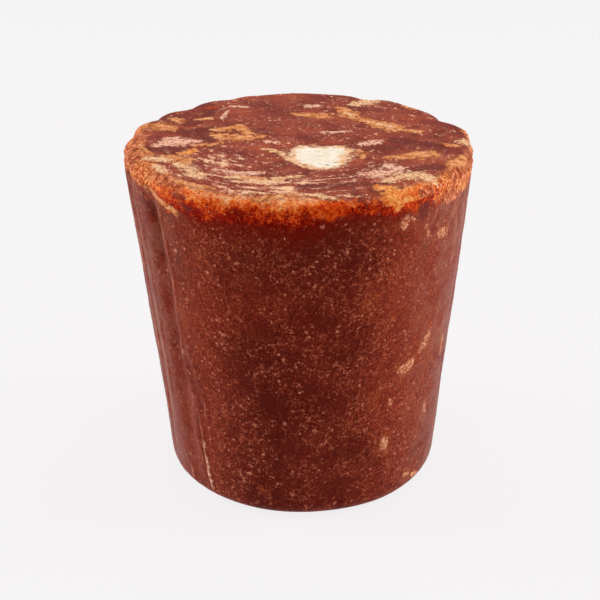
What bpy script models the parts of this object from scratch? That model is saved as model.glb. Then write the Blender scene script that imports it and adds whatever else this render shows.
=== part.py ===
"""A block of jaggery, set in a bucket-shaped mould: one solid lump of cane sugar.

It stands on the narrow face that was the bottom of the mould. The wall leans out to a rounded lip,
and keeps the creases and pleats of the sheet that lined the mould. The wide face, where the syrup
was levelled off, is nearly flat, with a shallow hollow near its middle.

Angles run round the block from its front (-Y): 0 is the front, 90 the right (+X), 180 the back.
"""

import math

import bmesh
import bpy
from mathutils import Vector, noise

# Driving dimensions, in metres.
HEIGHT = 0.1045
TOP_RADIUS = 0.0515
FOOT_RADIUS = 0.0415  # where the wall's line would meet the floor
FOOT_ROUNDING = 0.0050
FOOT_SHIFT = 0.0013  # the block leans a little, so that its foot lies to the right of its top
LIP_DROP = 0.0042  # the lip rounds over more gently across the top than down the wall
LIP_WIDTH = 0.0056

# How finely the solid is faceted.
SEGMENTS = 108
FOOT_STEPS = 5
WALL_STEPS = 17
LIP_STEPS = 5
TOP_STEPS = 8

# Pleats of the lining at the lip: angle, depth and half width in degrees. A negative one bulges.
PLEATS = (
    (-164, 0.0014, 8),
    (-152, 0.0022, 4),
    (-133, 0.0032, 6),
    (-116, 0.0022, 3),
    (-108, -0.0020, 6),
    (-98, 0.0006, 3),
    (105, -0.0022, 7),
    (116, 0.0018, 4),
    (131, 0.0008, 3),
    (143, -0.0020, 6),
    (153, 0.0030, 4),
)
PLEAT_REACH = 0.014  # how far down the wall a pleat fades to a third

# Creases down the wall: angle at the lip, angle at the foot, depth and half width.
CREASES = (
    (-54, -48.5, 0.0011, 0.0026),
    (-72, -69, 0.0008, 0.0026),
    (-84, -83, 0.0006, 0.0022),
    (-104, -100, 0.0008, 0.0030),
    (-131, -126, 0.0007, 0.0028),
    (150, 155, 0.0008, 0.0032),
    (112, 108, 0.0006, 0.0026),
    (84, 81, 0.0004, 0.0022),
)
CREASE_START = 0.030  # below this height the creases fade out towards the foot

# The hollow in the wide face: centre, radius and depth.
HOLLOW = Vector((0.0051, -0.0122))
HOLLOW_RADIUS = 0.0105
HOLLOW_DEPTH = 0.0011

# Gentle unevenness all over: how high, and how far from lump to lump.
WALL_UNEVEN = 0.00035
WALL_LUMP = 0.022
TOP_UNEVEN = 0.0006
TOP_LUMP = 0.017

SUGAR_BROWN = (0.19, 0.035, 0.018)


def clear_scene():
    for thing in list(bpy.data.objects):
        bpy.data.objects.remove(thing, do_unlink=True)


def bell(distance, half_width):
    """1 at no distance, falling smoothly to about a third at the half width."""
    return math.exp(-((distance / half_width) ** 2))


def turn_between(one, other):
    """The smaller angle between two bearings, in degrees."""
    return (one - other + 180) % 360 - 180


def wall_lean():
    return math.atan2(TOP_RADIUS - FOOT_RADIUS, HEIGHT)


def wall_radius(height):
    return FOOT_RADIUS + height * math.tan(wall_lean())


def arc(centre, width, drop, start, end, steps):
    """Points of an oval arc in the outline's plane, from one angle to another."""
    turns = [start + (end - start) * step / steps for step in range(steps + 1)]
    return [(centre[0] + width * math.cos(a), centre[1] + drop * math.sin(a)) for a in turns]


def outline():
    """Half of the block's section as (radius, height): base edge, wall, lip, and in to the middle."""
    lean = wall_lean()
    foot_centre = (wall_radius(FOOT_ROUNDING) - FOOT_ROUNDING / math.cos(lean), FOOT_ROUNDING)
    lip_height = HEIGHT - LIP_DROP
    lip_centre = (wall_radius(lip_height) - LIP_WIDTH, lip_height)
    foot = arc(foot_centre, FOOT_ROUNDING, FOOT_ROUNDING, -math.pi / 2, -lean, FOOT_STEPS)
    lip = arc(lip_centre, LIP_WIDTH, LIP_DROP, 0, math.pi / 2, LIP_STEPS)
    low, high = Vector(foot[-1]), Vector(lip[0])
    wall = [tuple(low.lerp(high, step / WALL_STEPS)) for step in range(1, WALL_STEPS)]
    top = [(lip_centre[0] * (1 - step / TOP_STEPS), HEIGHT) for step in range(1, TOP_STEPS + 1)]
    return foot + wall + lip + top


def turned(points):
    """A bmesh of the outline spun once round the upright axis, with its base filled in."""
    bm = bmesh.new()
    verts = [bm.verts.new((radius, 0.0, height)) for radius, height in points]
    edges = [bm.edges.new(pair) for pair in zip(verts, verts[1:])]
    bmesh.ops.spin(
        bm,
        geom=verts + edges,
        cent=(0, 0, 0),
        axis=(0, 0, 1),
        angle=2 * math.pi,
        steps=SEGMENTS,
        use_merge=True,
    )
    bmesh.ops.remove_doubles(bm, verts=bm.verts, dist=1e-6)
    rim = [edge for edge in bm.edges if edge.is_boundary]
    bmesh.ops.contextual_create(bm, geom=rim)
    bmesh.ops.recalc_face_normals(bm, faces=bm.faces)
    return bm


def pleat_depth(bearing, height):
    fade = math.exp((height - HEIGHT) / PLEAT_REACH)
    return fade * sum(
        depth * bell(turn_between(bearing, angle), width) for angle, depth, width in PLEATS
    )


def crease_depth(bearing, height, radius):
    depth_here = 0.0
    for at_lip, at_foot, depth, width in CREASES:
        angle = at_foot + (at_lip - at_foot) * height / HEIGHT
        across = math.radians(turn_between(bearing, angle)) * radius
        depth_here += depth * bell(across, width)
    return depth_here * min(1.0, height / CREASE_START)


def top_sink(x, y):
    """How far the wide face lies below its level: the hollow, and a gentle unevenness."""
    hollow = HOLLOW_DEPTH * bell((Vector((x, y)) - HOLLOW).length, HOLLOW_RADIUS)
    return hollow + TOP_UNEVEN * (0.5 + 0.5 * noise.noise(Vector((x, y, 0)) / TOP_LUMP))


def make_uneven(bm):
    """Moves each point in by the pleats, creases and lumps there, and leaves the base flat."""
    for vert in bm.verts:
        x, y, height = vert.co
        radius = math.hypot(x, y)
        if radius < 1e-6:
            vert.co.z -= top_sink(0, 0)
            continue
        bearing = math.degrees(math.atan2(x, -y))
        outer = min(1.0, (radius / wall_radius(height)) ** 6)
        lump = WALL_UNEVEN * noise.noise(vert.co / WALL_LUMP)
        sink = pleat_depth(bearing, height) + crease_depth(bearing, height, radius) - lump
        factor = 1 - outer * sink / radius
        on_top = max(0.0, 1 - (HEIGHT - height) / LIP_DROP)
        lean = FOOT_SHIFT * (1 - height / HEIGHT)
        vert.co = (x * factor + lean, y * factor, height - on_top * top_sink(x, y))


def centre_over_origin(bm):
    """Puts the middle of the block's box over the origin."""
    xs = [vert.co.x for vert in bm.verts]
    ys = [vert.co.y for vert in bm.verts]
    shift = Vector((-(min(xs) + max(xs)) / 2, -(min(ys) + max(ys)) / 2, 0))
    bmesh.ops.translate(bm, verts=bm.verts, vec=shift)


def sugar_material():
    material = bpy.data.materials.new("jaggery")
    material.use_nodes = True
    shader = material.node_tree.nodes["Principled BSDF"]
    shader.inputs["Base Color"].default_value = (*SUGAR_BROWN, 1)
    shader.inputs["Roughness"].default_value = 0.45
    shader.inputs["Metallic"].default_value = 0.0
    return material


def build_block():
    bm = turned(outline())
    make_uneven(bm)
    centre_over_origin(bm)
    mesh = bpy.data.meshes.new("jaggery_block")
    bm.to_mesh(mesh)
    bm.free()
    mesh.shade_smooth()
    mesh.set_sharp_from_angle(angle=math.radians(50))
    mesh.materials.append(sugar_material())
    block = bpy.data.objects.new("jaggery_block", mesh)
    bpy.context.scene.collection.objects.link(block)
    return block


clear_scene()
build_block()
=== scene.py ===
# %% [markdown]
# # A block of jaggery
# Jaggery is cane juice boiled down until it sets. This block was poured into a bucket lined with a
# sheet, so it has the bucket's shape, the sheet's folds down its side, and a levelled upper face.
# The packed model gives its true size. This script makes the fine surface that stands for it, and
# then its sugar crystals, its materials, and a small studio to look at it in.

# %% Load the frame
import math
import random

import bmesh
import bpy
from mathutils import Matrix, Vector, noise
from mathutils.bvhtree import BVHTree


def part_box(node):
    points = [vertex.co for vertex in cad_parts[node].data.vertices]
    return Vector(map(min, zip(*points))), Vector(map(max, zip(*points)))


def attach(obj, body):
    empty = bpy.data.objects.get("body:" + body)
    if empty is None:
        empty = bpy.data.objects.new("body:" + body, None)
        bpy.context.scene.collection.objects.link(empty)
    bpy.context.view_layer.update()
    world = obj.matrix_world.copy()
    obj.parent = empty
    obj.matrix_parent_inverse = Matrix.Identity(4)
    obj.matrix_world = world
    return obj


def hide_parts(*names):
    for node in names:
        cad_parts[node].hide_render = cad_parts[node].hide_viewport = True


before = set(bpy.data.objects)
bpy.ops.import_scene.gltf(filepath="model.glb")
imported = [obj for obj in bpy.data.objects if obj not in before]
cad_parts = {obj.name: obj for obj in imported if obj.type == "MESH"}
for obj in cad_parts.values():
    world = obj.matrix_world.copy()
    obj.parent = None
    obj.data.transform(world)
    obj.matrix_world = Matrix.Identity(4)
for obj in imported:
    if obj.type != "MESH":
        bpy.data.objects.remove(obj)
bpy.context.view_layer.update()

MM = 0.001
BLOCK_LOW, BLOCK_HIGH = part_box("jaggery_block")
print("block, in mm:", [round(side / MM, 1) for side in BLOCK_HIGH - BLOCK_LOW])

# %% [markdown]
# ## The outline
# The block is round, so half of its section can be spun about the upright axis. Blender's Screw
# modifier would do that too, but a bmesh spin leaves plain points that can be pushed about one by
# one afterwards. The outline runs along the base, round the foot, up the wall, over the lip and in
# to the middle of the upper face. The steps are closest on the lip, where the surface is roughest.

# %% Sizes of the block
HEIGHT = 104.5 * MM
TOP_RADIUS = 51.5 * MM
FOOT_RADIUS = 41.5 * MM
FOOT_ROUNDING = 5.0 * MM
LIP_DROP = 4.2 * MM
LIP_WIDTH = 5.6 * MM
LEAN = math.atan2(TOP_RADIUS - FOOT_RADIUS, HEIGHT)
print("the wall leans out by", round(math.degrees(LEAN), 1), "degrees")

# %% Half of the section
BASE_STEPS = 9
FOOT_STEPS = 10
WALL_STEPS = 106
LIP_STEPS = 28
FACE_STEPS = 66


def wall_radius(height):
    return FOOT_RADIUS + height * math.tan(LEAN)


def arc(centre, width, drop, start, end, steps):
    """Points of an oval arc in the outline's plane, from one angle to another."""
    turns = [start + (end - start) * step / steps for step in range(steps + 1)]
    return [(centre[0] + width * math.cos(a), centre[1] + drop * math.sin(a)) for a in turns]


def outline():
    """Half of the block's section as (radius, height), from the middle of the base round to the top."""
    foot_centre = (wall_radius(FOOT_ROUNDING) - FOOT_ROUNDING / math.cos(LEAN), FOOT_ROUNDING)
    lip_height = HEIGHT - LIP_DROP
    lip_centre = (wall_radius(lip_height) - LIP_WIDTH, lip_height)
    base = [(foot_centre[0] * step / BASE_STEPS, 0.0) for step in range(BASE_STEPS)]
    foot = arc(foot_centre, FOOT_ROUNDING, FOOT_ROUNDING, -math.pi / 2, -LEAN, FOOT_STEPS)
    lip = arc(lip_centre, LIP_WIDTH, LIP_DROP, 0, math.pi / 2, LIP_STEPS)
    low, high = Vector(foot[-1]), Vector(lip[0])
    wall = [tuple(low.lerp(high, step / WALL_STEPS)) for step in range(1, WALL_STEPS)]
    face = [(lip_centre[0] * (1 - step / FACE_STEPS), HEIGHT) for step in range(1, FACE_STEPS + 1)]
    return base + foot + wall + lip + face


print("outline:", len(outline()), "points")

# %% Spin the outline
SEGMENTS = 400
WEDGES = 8
WELD_DISTANCE = 0.001 * MM


def turned(points):
    """A closed bmesh of the outline turned once round the upright axis.

    One wedge is spun and then copied round, which is much quicker than one long spin.
    """
    bm = bmesh.new()
    verts = [bm.verts.new((radius, 0.0, height)) for radius, height in points]
    edges = [bm.edges.new(pair) for pair in zip(verts, verts[1:])]
    axis = {"cent": (0, 0, 0), "axis": (0, 0, 1)}
    wedge = math.tau / WEDGES
    bmesh.ops.spin(bm, geom=verts + edges, angle=wedge, steps=SEGMENTS // WEDGES, **axis)
    whole = bm.verts[:] + bm.edges[:] + bm.faces[:]
    rest = {"angle": math.tau - wedge, "steps": WEDGES - 1}
    bmesh.ops.spin(bm, geom=whole, use_duplicate=True, **rest, **axis)
    bmesh.ops.remove_doubles(bm, verts=bm.verts, dist=WELD_DISTANCE)
    bmesh.ops.recalc_face_normals(bm, faces=bm.faces)
    return bm


block_mesh = turned(outline())
print("spun block:", len(block_mesh.verts), "points")

# %% [markdown]
# ## The mould's marks
# The lining sheet left pleats at the rim and creases down the wall, and the block settled a little
# unevenly. Sculpting by hand would not come out the same twice, so each mark is a smooth bell-shaped
# dent with a place, a depth and a width. Bearings run round the block from its front: 90 is the
# right side, 180 the back.

# %% Pleats, creases and the hollow
# Bearing, depth in mm (negative for a bulge) and half width in degrees.
PLEATS = (
    (-164, 1.4, 8),
    (-152, 2.2, 4),
    (-133, 3.2, 6),
    (-116, 2.2, 3),
    (-108, -2.0, 6),
    (-98, 0.6, 3),
    (105, -2.2, 7),
    (116, 1.8, 4),
    (131, 0.8, 3),
    (143, -2.0, 6),
    (153, 3.0, 4),
)
PLEAT_REACH = 14 * MM
# Bearing at the lip, bearing at the foot, depth and half width in mm.
CREASES = (
    (-54, -48.5, 1.1, 2.6),
    (-72, -69, 0.8, 2.6),
    (-84, -83, 0.6, 2.2),
    (-104, -100, 0.8, 3.0),
    (-131, -126, 0.7, 2.8),
    (150, 155, 0.8, 3.2),
    (112, 108, 0.6, 2.6),
    (84, 81, 0.4, 2.2),
)
CREASE_START = 30 * MM
HOLLOW = Vector((5.1, -12.2)) * MM
HOLLOW_RADIUS = 10.5 * MM
HOLLOW_DEPTH = 1.1 * MM
WALL_UNEVEN = 0.35 * MM
WALL_LUMP = 22 * MM
FACE_UNEVEN = 0.6 * MM
FACE_LUMP = 17 * MM
print(len(PLEATS), "pleats and", len(CREASES), "creases")


# %% How deep a mark is
def bell(distance, half_width):
    """1 at no distance, falling smoothly to about a third at the half width."""
    return math.exp(-((distance / half_width) ** 2))


def turn_between(one, other):
    """The smaller angle between two bearings, in degrees."""
    return (one - other + 180) % 360 - 180


def bearing_of(place):
    return math.degrees(math.atan2(place.x, -place.y))


def pleat_depth(bearing, height):
    fade = math.exp((height - HEIGHT) / PLEAT_REACH)
    return fade * MM * sum(
        depth * bell(turn_between(bearing, angle), width) for angle, depth, width in PLEATS
    )


def crease_depth(bearing, height, radius):
    depth_here = 0.0
    for at_lip, at_foot, depth, width in CREASES:
        angle = at_foot + (at_lip - at_foot) * height / HEIGHT
        across = math.radians(turn_between(bearing, angle)) * radius
        depth_here += depth * MM * bell(across, width * MM)
    return depth_here * min(1.0, height / CREASE_START)


def face_sink(x, y):
    """How far the upper face lies below its level: the hollow, and a gentle unevenness."""
    hollow = HOLLOW_DEPTH * bell((Vector((x, y)) - HOLLOW).length, HOLLOW_RADIUS)
    return hollow + FACE_UNEVEN * (0.5 + 0.5 * noise.noise(Vector((x, y, 0)) / FACE_LUMP))


print("hollow, in mm:", round(face_sink(*HOLLOW) / MM, 2))

# %% Press the marks in
FOOT_SHIFT = 1.3 * MM
ON_THE_AXIS = 0.01 * MM


def press_marks(bm):
    """Moves each point in by the pleats, creases and lumps there, and leaves the base flat."""
    for vert in bm.verts:
        x, y, height = vert.co
        radius = math.hypot(x, y)
        if radius < ON_THE_AXIS:
            vert.co.z -= face_sink(0, 0) if height > 0 else 0
            continue
        bearing = bearing_of(vert.co)
        outer = min(1.0, (radius / wall_radius(height)) ** 6)
        lump = WALL_UNEVEN * noise.noise(vert.co / WALL_LUMP)
        sink = pleat_depth(bearing, height) + crease_depth(bearing, height, radius) - lump
        factor = 1 - outer * sink / radius
        on_face = max(0.0, 1 - (HEIGHT - height) / LIP_DROP)
        shift = FOOT_SHIFT * (1 - height / HEIGHT)
        vert.co = (x * factor + shift, y * factor, height - on_face * face_sink(x, y))


def centre_on_frame(bm):
    """Puts the middle of the block's box over the middle of the packed block's."""
    xs = [vert.co.x for vert in bm.verts]
    ys = [vert.co.y for vert in bm.verts]
    middle = (BLOCK_LOW + BLOCK_HIGH) / 2
    shift = (middle.x - (min(xs) + max(xs)) / 2, middle.y - (min(ys) + max(ys)) / 2, 0)
    bmesh.ops.translate(bm, verts=bm.verts, vec=shift)


press_marks(block_mesh)
centre_on_frame(block_mesh)
print("marks pressed in")

# %% [markdown]
# ## Where the colours lie
# Boiled sugar sets in veins and patches: white where it dried, cream, pink and tan where it is half
# dry, amber and honey where it is clear, plum where the skin is dark, and crust where the rim is
# browned. The wall has chips and flakes too, and rust-coloured drifts round them. An image could be
# painted for them; here each is a brush stroke, a line through a few places with a half width at
# each. Each point of the mesh remembers how deep in a stroke it lies, and the material makes the
# stroke's edge ragged.

# %% Strokes on the upper face
# By kind, the places that each stroke passes: right, back and half width, in millimetres.
FACE_STROKES = {
    "white": (
        ((2.8, -9.8, 4.2), (9.2, -10.2, 4.4)),
        ((5.4, -13.5, 7.2), (6.8, -19.8, 4.9)),
    ),
    "cream": (
        ((-5.5, -12, 0.6), (-2.6, -17.5, 0.9), (1.8, -23.8, 0.9), (5.5, -27, 0.6)),
        ((-10.5, -9.2, 0.7), (-7.5, -10.4, 1.4), (-4, -11.6, 1)),
        ((11.5, -6, 1.6), (13.4, -10.5, 3), (12.8, -16, 2.6), (10, -21, 1.4)),
        ((-42.5, -17.2, 1.4), (-37, -19.2, 1.6)),
        ((-39.7, -24, 1.2), (-36.5, -27.9, 1.4)),
        ((-33.5, -22.3, 1.2), (-30.4, -26.4, 2.2), (-27.9, -31, 2), (-26, -34, 1.4)),
        ((-19.7, -32.9, 1), (-16.4, -32.3, 1.8)),
        ((-13.1, -35.4, 1.6), (-9.1, -36, 2), (-5.5, -35.6, 1.4)),
        ((-6, -33.2, 1.2), (-2.9, -32.9, 1.6), (0.5, -32, 1)),
        ((17.5, 34, 1.8), (20.8, 36.5, 3.4), (23, 40, 3.2)),
        ((14.2, 26, 0.9), (16.4, 22.4, 0.8)),
        ((24, 13.2, 1.2), (27.5, 11, 1.1)),
        ((23.8, -35.5, 1.4), (28, -32.8, 2.6), (32.9, -31.6, 2.8), (36.2, -33, 2)),
        ((46.8, -3, 1.4), (49.6, 0.5, 2)),
        # Along the front edge: partly cream sugar, partly a painted highlight where the face turns over the
        # rim.
        ((0.5, -46.2, 0.7), (5, -46.4, 1.1), (10, -47.4, 0.7)),
        ((-18, -43, 0.5), (-12.5, -44, 0.8), (-8, -44.8, 0.5)),
        ((-3, 49.6, 1.2), (6, 49.8, 1)),
        ((-20, 46, 1), (-13, 48.5, 1.4)),
    ),
    "tan": (
        ((17, -9.5, 0.8), (18.4, -13, 1.1), (18, -16, 0.8)),
        ((-25, 4.5, 1.6), (-20, 1.5, 3.4), (-15, 1.4, 3.4), (-10.2, 2.2, 1.2)),
        ((-25, 8.5, 1.4), (-21, 9.5, 2.4), (-18, 12, 2), (-15, 5.5, 2)),
        ((-30.5, -6.4, 0.8), (-26, -5, 1.5), (-22.5, -4, 0.9)),
        ((-39.4, -18.4, 2), (-36.1, -17.4, 3.2), (-32.7, -18.4, 3.2), (-31.2, -21, 1.8)),
        ((-46.4, -4.5, 0.4), (-44.2, -9.6, 0.6), (-41.2, -14.8, 0.6)),
        ((-16.8, -32, 1.8), (-10, -34.2, 1.8)),
        ((-45.6, 13, 1.6), (-42, 12.4, 3.6), (-38.6, 9.4, 2.4)),
        ((-38.6, 19.2, 1.4), (-36, 17.4, 1.8)),
        ((-31.5, 18.4, 0.8), (-27.5, 19.2, 1.6)),
        ((-1, 25, 1.4), (4, 23.6, 2.2), (8.2, 22.8, 2.4)),
        ((13, 30, 1.6), (15, 25, 3), (18, 19.5, 2.4), (21.5, 16.5, 2.2)),
        ((21.5, 16.5, 2.2), (24.5, 13, 3.6), (28, 10.2, 3.4), (31.5, 8.2, 1.6), (36, 7, 1.4)),
        ((25.5, -16.5, 1.4), (30, -16, 2.4), (34.3, -14.6, 3.2), (37.4, -13.6, 2.8)),
        ((41.5, -4.5, 1), (45.2, -6.4, 1.4)),
        # Along the front edge: partly tan sugar, partly a painted highlight where the face turns over the
        # rim.
        ((-12, -47.6, 0.8), (-5, -46.4, 1.1), (0.5, -46.2, 0.8)),
        ((-33, -34.6, 0.6), (-28, -38.4, 0.9), (-22, -41.6, 0.6)),
        ((41.5, -22.5, 1.2), (45, -18, 2.2), (47, -14, 1.4)),
        ((33, 33, 1.4), (36, 30, 1.6)),
    ),
    "pink": (
        ((19, -4.2, 1.6), (22.5, -3, 1.8)),
        ((-9.5, -3, 1), (-6.5, -3.4, 1.2)),
        ((-41.5, -7, 1), (-37.5, -3.5, 2.8), (-33.5, -3, 3), (-29, -2.2, 1.2)),
        ((-38.5, 0, 1.2), (-35.5, 1, 1)),
        ((-23, -26.6, 1), (-17, -29.4, 1.4), (-10.1, -28.6, 1.2)),
        ((-21, 32.2, 0.9), (-17, 31.6, 1.1)),
        ((-21.8, 27.5, 0.5), (-23, 22, 0.7), (-23.8, 18, 0.5)),
        ((3.6, 32.6, 1.8), (6.4, 32.4, 1.2)),
        ((18.2, -30, 1.8), (21.2, -29.8, 3), (24.2, -29, 2)),
        ((25, -23.5, 1.8), (27.6, -27.2, 2.2)),
        ((7, 6.8, 0.7), (11.5, 6.6, 0.8), (15, 7.2, 0.6)),
    ),
    "plum": (
        ((-43, -9.5, 2), (-38, -10.5, 3.4), (-33, -9.5, 2.8)),
        ((-34, 8, 3), (-28.5, 6, 3.8), (-26, -1, 2.4)),
        ((-33, 13.5, 2.6), (-29.5, 20, 2.8), (-27.5, 25, 1.8)),
        ((30, -28, 2.4), (38, -24, 2.6)),
        ((1, -40, 1.2), (12, -39, 2), (24, -37, 1.2)),
        ((-33.6, -38, 0.4), (-32.4, -39.6, 0.6), (-30.4, -41.2, 0.4)),
        ((27.5, -2, 2.2), (34, -3.5, 2.8), (41, -7, 1.8)),
    ),
    "honey": (
        ((-32.6, -12.9, 1.6), (-30, -10.5, 1.4)),
        ((24.5, -44, 2), (28, -44.6, 3.8), (31.5, -43.6, 3.4)),
        ((21, -40.3, 1.6), (24.5, -41, 1.8)),
    ),
    "amber": (
        ((-28.6, 30.4, 0.6), (-26, 31.6, 0.9)),
        ((4, -50.6, 0.9), (8, -50, 1.5), (12, -49.2, 1)),
    ),
    "crust": (
        ((-45.2, 8, 1.6), (-46.6, 1, 2.2), (-48.4, -5, 2.8), (-48.4, -12, 2.6), (-45.8, -17, 2)),
        ((-40, -27.5, 1), (-36.5, -32.5, 1.4), (-31.5, -37.4, 1.2)),
        ((48.4, -8, 1), (48.8, -14, 1.8), (46.8, -20.5, 2.4), (43.6, -26.5, 2.2)),
        ((32.6, -38.6, 1), (35.2, -36.6, 1)),
    ),
}
print("strokes on the face:", {kind: len(strokes) for kind, strokes in FACE_STROKES.items()})

# %% Strokes on the wall
# The same, with each place given as bearing, height and half width.
WALL_STROKES = {
    "honey": (
        ((31.5, 101.5, 2.6), (31, 99.4, 1)),
        ((-68, 103, 1), (-64.5, 101.6, 1.4)),
    ),
    "amber": (
        ((4.5, 100.6, 1), (9, 100.4, 1.8), (13.5, 100.8, 1)),
        ((34.5, 100.6, 1.6), (37.5, 98.2, 1.4)),
    ),
    "plum": (
        ((-38.4, 99.8, 0.5), (-36.4, 98.8, 0.7), (-34, 98.4, 0.5)),
        ((43, 98.4, 1.1), (41.2, 95.8, 1.8)),
        ((-60.5, 95, 1.4), (-55.5, 94.2, 2), (-49.5, 92, 1.4)),
    ),
    "crust": (
        ((51.5, 98, 1.4), (55, 97.4, 1.6), (60, 96.4, 1.4)),
    ),
    "tan": (
        ((-56.5, 99.8, 0.5), (-51.8, 99, 0.7), (-47.7, 98, 0.7), (-43.2, 96.8, 0.8), (-40, 95.9, 0.7)),
    ),
    "pink": (
        ((-38.6, 4.5, 0.35), (-39.8, 9, 0.5), (-40.4, 14.5, 0.5), (-40.9, 20.6, 0.4)),
    ),
    "chip": (
        ((34.6, 95.7, 0.9), (33.9, 94.4, 1.1), (33.7, 93.2, 0.8)),
        ((51.4, 87.4, 1.1), (54.4, 86.8, 1.4)),
        ((43.5, 91.6, 0.6), (44.1, 91, 0.6)),
        ((44.6, 89.1, 0.6), (45.2, 88.6, 0.5)),
        ((37.2, 95.8, 0.4), (37.6, 95.1, 0.4)),
        ((52.6, 55, 0.8), (50.8, 52.6, 1.4), (48.2, 50.6, 0.7)),
        ((44.4, 48.2, 0.9), (41.4, 46.8, 1.5), (38.2, 46.9, 0.8)),
        ((65.9, 49.6, 0.5), (65.2, 46.6, 0.6), (65.9, 43, 0.4)),
        ((34.6, 23.9, 1.1), (34.2, 21.6, 1.2)),
        ((48, 6.9, 0.9), (50.5, 6.6, 0.7)),
        ((54.6, 4.6, 0.9), (57, 4.2, 0.7)),
        ((56.4, 29.2, 0.5), (58, 26, 0.5)),
        ((35.2, 37.6, 0.5), (35.8, 36.4, 0.5)),
        ((122, 71, 1.2), (124, 68, 1.8)),
        ((-150, 83, 1), (-152, 80, 1.4)),
        ((176, 38, 1.6), (179, 36, 1)),
        ((-97, 31, 1), (-95, 29, 1.3)),
    ),
    "rust": (
        ((25, 74.5, 2.2), (22.5, 72, 2.4)),
        ((32.5, 81, 1.8), (31, 79, 1.4)),
        ((29.6, 42.5, 1.4), (28, 39, 2)),
        ((-13.9, 9.6, 1.6), (-13.2, 8.8, 1.2)),
        ((-43.6, 65, 1.4), (-42.8, 61, 1.6)),
        ((54.4, 50, 2), (55, 44, 2.2)),
        ((53, 56, 2.6), (48, 51, 3.6), (40, 46.5, 4)),
        ((34.6, 25, 2.6), (34, 20.5, 3)),
        ((49, 7.5, 2.6), (56, 4.6, 2.6)),
        ((138, 60, 2.2), (141, 55, 2.6)),
        ((-117, 52, 2.6), (-121, 48, 2)),
        ((85, 24, 2.4), (88, 20, 2)),
    ),
    "flake": (
        ((45.6, 91.5, 0.7), (49, 95, 1.1), (53, 98.5, 1.2)),
        ((50, 90.5, 0.8), (54, 94, 1.2), (57.5, 97.5, 1.2)),
        ((57, 88.5, 0.9), (60, 92.5, 1.3), (62.5, 96, 1.2)),
        ((69.5, 96, 0.7), (68.5, 88, 1), (69.5, 79, 0.6)),
        ((61.5, 90, 1), (64, 82, 1.5), (63, 73, 0.7)),
        ((65.5, 57, 0.8), (63.5, 50, 1.3), (64.5, 44, 0.6)),
        ((56, 30, 1.2), (57.5, 24, 1.6)),
        ((-76, 88, 0.8), (-73.5, 79, 1.3), (-74.5, 70, 0.6)),
        ((-66, 32, 0.8), (-64.5, 24, 1.2)),
        ((146, 92, 2), (151, 76, 3.2), (148, 62, 1.2)),
        ((-143, 74, 1.4), (-138, 60, 3.2), (-140, 50, 1.6)),
        ((96, 94, 2.4), (99, 86, 1.4)),
    ),
}


# %% How deep a point lies in a stroke
class Stroke:
    """A patch drawn as a brush stroke: a line through a few places, with a half width at each."""

    def __init__(self, kind, *places):
        self.kind = kind
        self.places = [(Vector(place[:2]) * MM, place[2] * MM) for place in places]
        reach = 2 * max(half_width for _, half_width in self.places)
        across = [place.x for place, _ in self.places]
        along = [place.y for place, _ in self.places]
        self.left, self.right = min(across) - reach, max(across) + reach
        self.low, self.high = min(along) - reach, max(along) + reach

    def depth(self, x, y):
        """1 on the line, a half at the edge, 0 at twice the half width and beyond."""
        if not (self.left < x < self.right and self.low < y < self.high):
            return 0.0
        spot = Vector((x, y))
        deepest = 0.0
        for (start, one), (end, other) in zip(self.places, self.places[1:]):
            run = end - start
            share = min(1.0, max(0.0, (spot - start).dot(run) / run.length_squared))
            half_width = one + (other - one) * share
            deepest = max(deepest, 1 - 0.5 * (spot - start - run * share).length / half_width)
        return deepest


def unrolled(bearing, height, half_width):
    """A place on the wall as on a flat sheet: the way round the block first, then the height."""
    return math.radians(bearing) * wall_radius(height * MM) / MM, height, half_width


KINDS = ("white", "cream", "pink", "tan", "honey", "amber", "plum", "crust", "chip", "rust", "flake")
ON_FACE = [Stroke(kind, *places) for kind, strokes in FACE_STROKES.items() for places in strokes]
ON_WALL = [
    Stroke(kind, *[unrolled(*place) for place in places])
    for kind, strokes in WALL_STROKES.items()
    for places in strokes
]
FACE_LEVEL = HEIGHT - LIP_DROP


def stroke_depths(place):
    """How deep a point lies in the strokes of each kind."""
    if place.z > FACE_LEVEL:
        strokes, x, y = ON_FACE, place.x, place.y
    else:
        around = math.radians(bearing_of(place)) * wall_radius(place.z)
        strokes, x, y = ON_WALL, around, place.z
    deepest = dict.fromkeys(KINDS, 0.0)
    for stroke in strokes:
        deepest[stroke.kind] = max(deepest[stroke.kind], stroke.depth(x, y))
    return deepest


print(len(ON_FACE), "strokes on the face and", len(ON_WALL), "on the wall")

# %% [markdown]
# ## The lip
# Round the rim the sugar is coarse, orange and half clear. The band ends at a ragged line on the
# wall, low at the front and higher at the sides, and at another line on the upper face. Both lines
# are given at a few bearings and read in between.

# %% The lip's two edges
# Bearing, then the height of the lower edge or the upper edge's distance from the axis, in mm.
LIP_FOOT = (
    (-180, 100), (-120, 99), (-90, 99.5), (-57, 99.3), (-44, 96.2), (-37, 96.8), (-31, 95.4),
    (-15, 96.8), (0, 96.2), (9, 98.7), (14, 99.8), (25, 98.7), (31, 96.6), (36, 98.6), (41, 99),
    (48, 97.2), (58, 97), (68, 95.6), (78, 97.2), (90, 98.6), (120, 98.6), (180, 100),
)
LIP_INNER = (
    (-180, 51), (-120, 50.2), (-104, 46.8), (-90, 45.2), (-64, 45), (-46, 46.6), (-30, 48.6),
    (-10, 47.6), (0, 47), (12, 49), (24, 50.4), (34, 48), (50, 48.6), (66, 47.8), (76, 49.6),
    (110, 50.2), (180, 51),
)
LIP_SOFTNESS = 2.0 * MM
LIP_BREADTH = 11.0 * MM


def read_between(points, bearing):
    """The value at a bearing of a line given at a few bearings, in metres."""
    for (before, low), (after, high) in zip(points, points[1:]):
        if bearing <= after:
            return MM * (low + (high - low) * (bearing - before) / (after - before))
    return MM * points[-1][1]


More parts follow.
